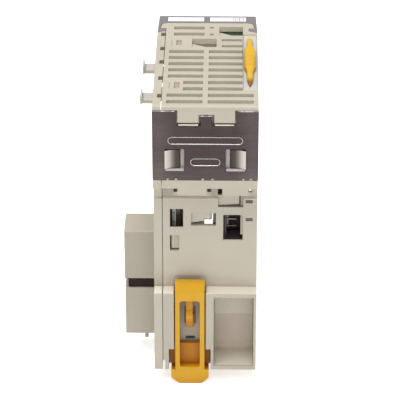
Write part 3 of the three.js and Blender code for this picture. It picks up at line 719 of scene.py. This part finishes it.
# ---------- capacitors ----------
CAN_SIDES = 72
STRIPE_HALF_ANGLE = 13    # degrees
MARK_PITCH = 3
MARK_HALF_ANGLE, MARK_HEIGHT, MARK_DEPTH = 0.09, 0.35, 0.08


def can_marks(name, x, y, reach, turn, first, last):
    """Minus marks up the printed stripe, as curved slabs at the radius reach."""
    marks = bmesh.new()
    for row in range(int((last - first) / MARK_PITCH)):
        z = first + MARK_PITCH * row
        edge = []
        for side, rise in ((-1, 0), (1, 0), (1, MARK_HEIGHT), (-1, MARK_HEIGHT)):
            angle = turn + side * MARK_HALF_ANGLE
            for radius in (reach, reach - MARK_DEPTH):
                point = Vector((x + radius * math.cos(angle), y + radius * math.sin(angle), z + rise))
                edge.append(marks.verts.new(point * MM))
        for face in ((0, 2, 4, 6), (7, 5, 3, 1), (0, 1, 3, 2), (2, 3, 5, 4), (4, 5, 7, 6), (6, 7, 1, 0)):
            marks.faces.new([edge[i] for i in face])
    return mesh_of(name, marks)


def make_capacitor(node, materials, facing):
    """Sleeved can with a crimp groove, a plain metal top and a printed stripe that faces facing degrees."""
    low, high = box_mm(node)
    x, y = (low.x + high.x) / 2, (low.y + high.y) / 2
    radius = (high.x - low.x) / 2
    sleeve = [
        (radius * 0.82, low.z), (radius * 0.96, low.z + 0.25), (radius, low.z + 0.7), (radius, low.z + 1.6),
        (radius * 0.94, low.z + 1.9), (radius * 0.94, low.z + 2.2), (radius, low.z + 2.5),
        (radius, high.z - 1.0), (radius * 0.96, high.z - 0.4), (radius * 0.86, high.z - 0.25),
    ]
    lid = [(radius * 0.84, high.z - 0.4), (radius * 0.84, high.z - 0.12), (radius * 0.8, high.z - 0.05)]
    mesh = rings_to_mesh(node, turned(sleeve, CAN_SIDES, (x, y)))
    prints = [materials["sleeve"], materials["sleeve_stripe"]]
    piece = finish_piece(node + "_can", mesh, prints, "root")
    for polygon in mesh.polygons:
        centre = polygon.center / MM - Vector((x, y, 0))
        off = abs(math.degrees(math.atan2(centre.y, centre.x)) - facing)
        if off < STRIPE_HALF_ANGLE and abs(polygon.normal.z) < 0.3:
            polygon.material_index = 1
    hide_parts(node)
    top = rings_to_mesh(node + "_top", turned(lid, CAN_SIDES, (x, y)))
    finish_piece(node + "_top", top, [materials["can_grey"]], "root")
    marks = can_marks(node + "_marks", x, y, radius + 0.02, math.radians(facing), low.z + 4, high.z)
    finish_piece(node + "_marks", marks, [materials["sleeve"]], "root", smooth=False)


# ---------- terminal screws ----------
SCREW_SIDES = 36
# (radius, depth from the top of the head)
SCREW_OUTLINE = [
    (1.5, 7.2), (1.5, 1.9), (2.2, 1.85), (2.3, 1.7), (2.3, 0.75), (2.2, 0.45), (1.9, 0.2), (1.3, 0.04),
    (0.6, 0.0)]
CROSS_LONG, CROSS_SHORT, CROSS_TAPER = 1.55, 0.3, 0.62
CROSS_START, CROSS_END = -0.5, 1.25
CLAMP_FRONT, CLAMP_REAR = 1.95, 2.6


def cross_mesh():
    """Two tapered slots that cross, cut into a screw's head."""
    cross = bmesh.new()
    for wide, tall in ((CROSS_LONG, CROSS_SHORT), (CROSS_SHORT, CROSS_LONG)):
        top, foot = [
            [cross.verts.new(Vector((sx * wide * size, depth, sz * tall * size)) * MM)
             for sx, sz in ((1, 1), (-1, 1), (-1, -1), (1, -1))]
            for depth, size in ((CROSS_START, 1), (CROSS_END, CROSS_TAPER))]
        cross.faces.new(top)
        cross.faces.new(list(reversed(foot)))
        for i in range(4):
            cross.faces.new((top[i], foot[i], foot[(i + 1) % 4], top[(i + 1) % 4]))
    return mesh_of("cross", cross)


def screw_mesh():
    """A pan-head clamp screw with a cross recess, centred on its head, the head facing -Y."""
    rings = [[(x, depth, z) for x, z, depth in ring] for ring in turned(SCREW_OUTLINE, SCREW_SIDES)]
    head = bpy.data.objects.new("head", rings_to_mesh("terminal_screw_head", rings))
    scene.collection.objects.link(head)
    cutter = bpy.data.objects.new("cross", cross_mesh())
    scene.collection.objects.link(cutter)
    recess = head.modifiers.new("recess", "BOOLEAN")
    recess.operation = "DIFFERENCE"
    recess.object = cutter
    recess.use_self = True
    bpy.context.view_layer.update()
    shaped = bpy.data.meshes.new_from_object(head.evaluated_get(bpy.context.evaluated_depsgraph_get()))
    for helper in (head, cutter):
        bpy.data.objects.remove(helper)
    return shaped


def make_screws(materials):
    """A cross-head screw and its square clamp plate at every terminal."""
    plated = materials["contact_plated"]
    head = screw_mesh()
    head.materials.clear()
    head.materials.append(plated)
    for node in sorted(frame["nodes"]):
        if not node.startswith("terminal_screw_"):
            continue
        low, high = box_mm(node)
        screw = bpy.data.objects.new(node + "_cross_head", head)
        scene.collection.objects.link(screw)
        screw.location = Vector(((low.x + high.x) / 2, low.y, (low.z + high.z) / 2)) * MM
        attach(screw, "wiring_block")
        plate = (low.x, high.x, low.y + CLAMP_FRONT, low.y + CLAMP_REAR, low.z, high.z)
        clamp = add_blocks(node + "_clamp", [plate], plated, 0.12, "wiring_block")
        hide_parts(node)
        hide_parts(node)


# ---------- display, labels and print ----------
FACES_FRONT = (math.radians(90), 0, 0)
LIGHT_ROWS, LIGHT_COLUMNS = 2, 8
LIGHT_PITCH_X, LIGHT_PITCH_Z = 2.55, 6.4
LIGHT_LEFT, LIGHT_TOP = 3.4, 4.6              # first light's middle, from the window's edges
LIGHT_HALF_W, LIGHT_HALF_H = 0.55, 0.9
LIGHT_NUMBER_SIZE, LIGHT_NUMBER_DROP = 1.5, 2.2
BAR_WIDTHS, BAR_GAP = (0.35, 0.2, 0.5, 0.2, 0.35, 0.25), 0.3
TERMINAL_ROWS = 9
TERMINAL_NUMBER_SIZE, TERMINAL_NUMBER_DEPTH = 1.9, 0.03


def printed(name, words, size, place, material, body, depth=0.06):
    """Small generic numbers on a front face; size, place and depth in millimetres."""
    text = bpy.data.curves.new(name, "FONT")
    text.body = words
    text.size = size * MM
    text.extrude = depth * MM / 2
    text.align_x, text.align_y = "CENTER", "CENTER"
    text.resolution_u = 3
    holder = bpy.data.objects.new(name, text)
    scene.collection.objects.link(holder)
    bpy.context.view_layer.update()
    mesh = bpy.data.meshes.new_from_object(holder.evaluated_get(bpy.context.evaluated_depsgraph_get()))
    bpy.data.objects.remove(holder)
    mesh.materials.clear()
    mesh.materials.append(material)
    piece = bpy.data.objects.new(name, mesh)
    scene.collection.objects.link(piece)
    piece.location = Vector(place) * MM
    piece.rotation_euler = FACES_FRONT
    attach(piece, body)


def make_display(materials):
    """Status lights behind the smoked window with their numbers, in two rows."""
    low, high = box_mm("indicator_window")
    lights = []
    for row in range(LIGHT_ROWS):
        for column in range(LIGHT_COLUMNS):
            x = low.x + LIGHT_LEFT + column * LIGHT_PITCH_X
            z = high.z - LIGHT_TOP - row * LIGHT_PITCH_Z
            lights.append((x - LIGHT_HALF_W, x + LIGHT_HALF_W, low.y - 0.08, low.y + 0.05,
                           z - LIGHT_HALF_H, z + LIGHT_HALF_H))
            printed(f"light_number_{row}_{column}", str(column), LIGHT_NUMBER_SIZE,
                    (x, low.y - 0.05, z - LIGHT_NUMBER_DROP), materials["print_white"], "root")
    add_blocks("status_lights", lights, materials["light_off"], 0.05)


def make_label_marks(materials):
    """A few generic ink bars at the outer end of one label strip."""
    low, high = box_mm("label_strip_right")
    bars = []
    x = low.x + 0.7
    for width in BAR_WIDTHS:
        bars.append((x, x + width, low.y + 0.5, high.y - 0.4, high.z - 0.05, high.z + 0.02))
        x += width + BAR_GAP
    add_blocks("label_bars", bars, materials["ink_red"])


def make_terminal_print(materials):
    """Row numbers on the ridge of the terminal block."""
    low, high = box_mm("terminal_block")
    pitch = (high.z - low.z) / TERMINAL_ROWS
    for row in range(TERMINAL_ROWS):
        printed(f"terminal_number_{row}", str(row), TERMINAL_NUMBER_SIZE,
                (0, low.y - 0.005, high.z - pitch * (row + 0.5)), materials["print_white"], "wiring_block",
                TERMINAL_NUMBER_DEPTH)


# ---------- board details ----------
LEG_REACH = 0.8
COUPLERS, COUPLER_LEGS, COUPLER_LEG_PITCH, COUPLER_LEG_WIDTH = 4, 4, 1.75, 0.45
CHIP_LEGS, CHIP_LEG_PITCH, CHIP_LEG_WIDTH = 10, 1.35, 0.4
RESISTORS, RESISTORS_A_ROW = 14, 7
RESISTOR_START, RESISTOR_PITCH = (-47, 22), (5.3, 9)    # (Y, Z)
RESISTOR_STAGGER = 1.3
RESISTOR_LENGTH, RESISTOR_HEIGHT = 1.6, 1.1


def make_chip_legs(materials):
    """Gull-wing legs of the photocouplers and the logic chip."""
    legs = []
    for number in range(1, COUPLERS + 1):
        low, high = box_mm(f"photocoupler_{number}")
        for side in (low.y - LEG_REACH, high.y):
            for i in range(COUPLER_LEGS):
                z = low.z + 0.9 + i * COUPLER_LEG_PITCH
                legs.append((low.x + 1.2, high.x - 0.02, side, side + LEG_REACH, z, z + COUPLER_LEG_WIDTH))
    low, high = box_mm("logic_chip")
    for side in (low.z - LEG_REACH, high.z):
        for i in range(CHIP_LEGS):
            y = low.y + 0.8 + i * CHIP_LEG_PITCH
            legs.append((low.x + 0.02, low.x + 0.5, y, y + CHIP_LEG_WIDTH, side, side + LEG_REACH))
    add_blocks("chip_legs", legs, materials["tin"])


def make_resistors(materials):
    """Two staggered rows of chip resistors with tinned ends on the main board."""
    board = box_mm("main_board")[1].x + 0.02
    bodies, ends = [], []
    for i in range(RESISTORS):
        row, column = divmod(i, RESISTORS_A_ROW)
        y = RESISTOR_START[0] + column * RESISTOR_PITCH[0]
        z = RESISTOR_START[1] + row * RESISTOR_PITCH[1] + (i % 3) * RESISTOR_STAGGER
        bodies.append((board, board + 0.48, y, y + RESISTOR_LENGTH, z, z + RESISTOR_HEIGHT))
        for start in (y - 0.3, y + RESISTOR_LENGTH - 0.02):
            ends.append((board, board + 0.53, start, start + 0.32, z - 0.03, z + RESISTOR_HEIGHT + 0.03))
    add_blocks("chip_resistors", bodies, materials["part_black"])
    add_blocks("resistor_ends", ends, materials["tin"])


# ---------- latch ----------
LATCH_X = 4.65
PAD_HALF_W, PAD_Y, PAD_Z = 1.35, (1.62, 2.5), (-30.85, -26.2)
# (X from the latch's middle, Z) spans of the shade round the tongue
TONGUE_SHADE = (((-1.75, -1.1), (-30.6, -24.5)), ((1.1, 1.75), (-30.6, -24.5)), ((-1.2, 1.2), (-31.3, -30.5)))


def make_latch_details(materials):
    """The wider pad behind the latch's spring tongue."""
    low, high = box_mm("din_latch")
    middle = (low.x + high.x) / 2
    pad = [(middle - PAD_HALF_W, middle + PAD_HALF_W, *PAD_Y, *PAD_Z)]
    add_blocks("tongue_pad", pad, materials["latch_yellow"], 0.15, "rail_latch")


def make_tongue_hollow(materials):
    """The case's shaded hollow behind and beside the tongue."""
    hollows = [(LATCH_X + x0, LATCH_X + x1, 0.78, 0.86, *span) for (x0, x1), span in TONGUE_SHADE]
    add_blocks("tongue_hollow", hollows, materials["tongue_shade"])


# ---------- rear plate's painted highlights ----
TAB_TOP = 42.0
EDGE_STRIPS_X = ((8.9, 15.3), (-15.3, -9.4))
TAB_STRIP_X = (-2.3, 1.8)
EDGE_SPOTS_X = ((11.7, 12.9), (9.05, 9.7), (-11.2, -10.2), (-13.9, -11.6))
TAB_SPOTS_X = ((0.5, 1.2), (-1.6, -0.9))
NICKS_X, NICK_HALF_W = (11.1, 8.6, 0.75, -2.1, -11.2, -13.4), 0.28


def make_plate_glints(materials):
    """Painted highlights: thin bright strips along the top of the plate and round its middle tab, with
    brighter spots on them.
    """
    top, face = PLATE_HIGH.z, PLATE_HIGH.y
    strips = [(*span, face - 0.12, face + 0.02, top - 0.16, top + 0.02) for span in EDGE_STRIPS_X]
    strips.append((*TAB_STRIP_X, face - 0.12, face + 0.02, TAB_TOP - 0.2, TAB_TOP))
    add_blocks("plate_glints", strips, materials["worn_edge"], 0.05)
    spots = [(*span, top) for span in EDGE_SPOTS_X] + [(*span, TAB_TOP) for span in TAB_SPOTS_X]
    glint_spots = [(x0, x1, face - 0.2, face + 0.04, z - 0.22, z + 0.05) for x0, x1, z in spots]
    add_blocks("edge_glint_spots", glint_spots, materials["rubbed_edge"], 0.06)


def make_plate_nicks(materials):
    """Small bright tabs of the case in the notches along the plate's lower edge; their brightness is painted
    light.
    """
    face, foot = PLATE_HIGH.y, PLATE_LOW.z
    nicks = [(x - NICK_HALF_W, x + NICK_HALF_W, face - 0.5, face - 0.1, foot - 0.1, foot + 0.36)
             for x in NICKS_X]
    add_blocks("plate_nicks", nicks, materials["pocket_skin"])


# ---------- painted light and shade on the upper block ---
FLAP_LIPS_X, FLAP_LIP_Z = ((2.15, 7.85), (-8.35, -2.85)), (38.63, 39.05)
FINGER_POCKET_Y = 3.2
# (X of the inner wall, X of the sill) of the two finger pockets
FINGER_POCKETS_X = (((5.85, 7.3), (6.3, 11.8)), ((-7.2, -5.65), (-11.7, -6.1)))
HOOKS_Y = ((-27.9, -22.4), (-7.4, -1.8))
HOOK_ARM_X, HOOK_ARM_Z = (15.6, 18.6), (43.48, 43.56)
HOOK_LIP_X, HOOK_LIP_Z = (18.62, 19.18), (44.7, 44.84)
SEAM_X, SEAM_Z = (12.78, 13.0), (44.5, 44.96)
SEAM_STRETCHES_Y = ((1.2, 4.5), (-11.2, -8.6), (-24.0, -22.9))
# (X, Z) spans of the sunk mould marks, and their two places along Y
MARKS = (((10.66, 10.94), (44.61, 44.95), ((-41.8, -38.0), (-11.7, -7.4))),
         ((7.85, 9.35), (44.05, 44.45), ((-41.85, -38.25), (-11.75, -7.65))))


def make_pocket_lights(materials):
    """Polished, pale lips under the two flaps, and pale, thin walls and sills in the pockets behind the
    plate's fingers; their paleness is painted light.
    """
    lip = PLATE_HIGH.y - 0.3
    lips = [(*span, lip - 0.1, lip + 0.05, *FLAP_LIP_Z) for span in FLAP_LIPS_X]
    add_blocks("flap_lips", lips, materials["painted_light_skin"], 0.03)
    pockets = []
    for wall_x, sill_x in FINGER_POCKETS_X:
        pockets.append((*wall_x, FINGER_POCKET_Y, FINGER_POCKET_Y + 0.15, 23.5, 31.3))
        pockets.append((*sill_x, FINGER_POCKET_Y, FINGER_POCKET_Y + 1.25, 23.75, 24.42))
    add_blocks("finger_pockets", pockets, materials["thin_skin"], 0.03)


def make_hook_skins(materials):
    """Thin, paler tops of the two hook arms."""
    arms = []
    for y0, y1 in HOOKS_Y:
        arms.append((*HOOK_ARM_X, y0 + 0.15, y1 - 0.45, *HOOK_ARM_Z))
        arms.append((*HOOK_LIP_X, y0 + 0.1, y1 - 0.1, *HOOK_LIP_Z))
    add_blocks("hook_skins", arms, materials["thin_skin"], 0.02)


def make_seam_lights(materials):
    """Stretches of the joint between case and side cover that shine through, drawn as white strips of painted
    light.
    """
    seam = [(*SEAM_X, *stretch, *SEAM_Z) for stretch in SEAM_STRETCHES_Y]
    seam.append((*SEAM_X, 4.5, 4.66, 43.7, 44.9))
    add_blocks("seam_lights", seam, materials["nylon_white"], 0.02)


def make_mark_floors(materials):
    """Shaded floors of the sunk mould marks on the top face."""
    sunk = [(*x, *y, *z) for x, z, places in MARKS for y in places]
    add_blocks("mark_floors", sunk, materials["shaded_floor"])


# ---------- painted shade and light on the rail seat ---
SLOT_X, SLOT_Y, SLOT_STARTS_Z, SLOT_HEIGHT = (-14.06, -12.09), (-1.16, -0.2), (10.83, 4.73), 1.04
WINDOW_SHADES = ((-3.12, -1.95, -1.75, -0.9, 3.13, 7.37), (-5.0, -3.7, -3.1, -2.6, 12.5, 17.5))
GROOVE_SHADES_X, GROOVE_Y, GROOVE_Z = ((-3.6, -1.75), (9.6, 12.7)), (-0.55, -0.42), (12.9, 17.6)
GROOVE_EDGES_X = {"groove_edge_left": (-3.65, 12.7), "groove_edge_right": (-15.3, -11.4)}
GROOVE_EDGE = ((0.03, 12.07), (-0.47, 12.6), (-0.42, 12.68), (0.06, 12.2))    # (Y, Z)
SHELF_X, SHELF_Y, SHELF_Z = ((-15.4, -0.35), (9.65, 12.7), (13.1, 15.4)), (0.01, 4.5), (-18.02, -17.94)


def make_seat_shades(materials):
    """Painted shade on the walls in the small slots, the windows and the groove behind the hook lips, and a
    painted highlight along the groove's lower edge.
    """
    slots = [(*SLOT_X, *SLOT_Y, start, start + SLOT_HEIGHT) for start in SLOT_STARTS_Z]
    add_blocks("slot_shades", slots, materials["deep_shade"])
    add_blocks("window_shade", WINDOW_SHADES, materials["sleeve"])
    groove = [(*span, *GROOVE_Y, *GROOVE_Z) for span in GROOVE_SHADES_X]
    add_blocks("groove_shades", groove, materials["shaded_floor"])
    for name, (x0, x1) in GROOVE_EDGES_X.items():
        add_prism(name, GROOVE_EDGE, x0, x1, materials["pocket_skin"], "case_beige")


def make_shelf_skin(materials):
    """The polished top of the ledge under the seat, made paler with painted light."""
    shelf = [(*span, *SHELF_Y, *SHELF_Z) for span in SHELF_X]
    add_blocks("shelf_skin", shelf, materials["shelf_skin"])


# ---------- painted light in the lower pocket and the slider channels ---
POCKET_X = (-14.6, -2.7)
POCKET_BACK = -5.2
POCKET_FLOOR = CASE_LOW.z + 1.5
POCKET_WALL = ((-7.6, -19.3), (-5.0, -30.5), (-5.4, -30.5), (-8.0, -19.3))    # (Y, Z), leaning
CHANNEL_DEPTH = 0.5
CHANNEL_Y = (-46.2, -6.4)
CHANNEL_SIDES_X = ((-15.2, -13.7), (-12.3, -11.1))
CHANNEL_ENDS_X, CHANNEL_ENDS_Y = (-13.7, -12.3), ((-46.2, -42.1), (-19.9, -6.4))
SKIN_DEPTH = 0.08


def make_pocket_skins(materials):
    """Smooth, pale skins of painted light on the lower pocket's floor, its leaning upper wall and its back,
    the back paler towards the floor.
    """
    floor = [(*POCKET_X, POCKET_BACK, CASE_HIGH.y - 0.5, POCKET_FLOOR + 0.01, POCKET_FLOOR + 0.16)]
    add_blocks("pocket_floor_skin", floor, materials["pocket_floor"], 0.05)
    add_prism("pocket_wall_skin", POCKET_WALL, *POCKET_X, materials["painted_light_skin"], "case_beige", 0.05)
    back = [(*POCKET_X, POCKET_BACK - 0.1, POCKET_BACK + 0.1, POCKET_FLOOR, -30.4),
            (*POCKET_X, POCKET_BACK, POCKET_BACK + 0.35, POCKET_FLOOR + 0.15, POCKET_FLOOR + 0.6)]
    add_blocks("pocket_back_skin", back, materials["pocket_back"], 0.05)


def make_channel_skins(materials):
    """Polished, paler floors of the two channels, left open where the sliders run; the paleness is partly the
    channels' own grey and partly painted light.
    """
    for side, name in ((1, "upper_channel_skin"), (-1, "lower_channel_skin")):
        face = side * (CASE_HIGH.z - CHANNEL_DEPTH)
        z = sorted((face, face + side * SKIN_DEPTH))
        painted_light_skin = [(*x, *CHANNEL_Y, *z) for x in CHANNEL_SIDES_X]
        painted_light_skin += [(*CHANNEL_ENDS_X, *y, *z) for y in CHANNEL_ENDS_Y]
        add_blocks(name, painted_light_skin, materials["channel_skin"])


make_camera()
make_studio()
materials = make_materials()
dress_cad(materials)
make_bead_rims(materials)
make_slider("top_slider", materials["slider"], "upper_lock")
make_slider("bottom_slider", materials["slider"], "lower_lock")
make_capacitor("capacitor", materials, 62)
make_capacitor("small_capacitor", materials, 90)
make_screws(materials)
for make_detail in (
        make_display, make_label_marks, make_terminal_print, make_chip_legs, make_resistors,
        make_latch_details, make_plate_glints, make_pocket_lights, make_hook_skins, make_seam_lights,
        make_seat_shades, make_tongue_hollow, make_plate_nicks, make_shelf_skin, make_mark_floors,
        make_pocket_skins, make_channel_skins):
    make_detail(materials)
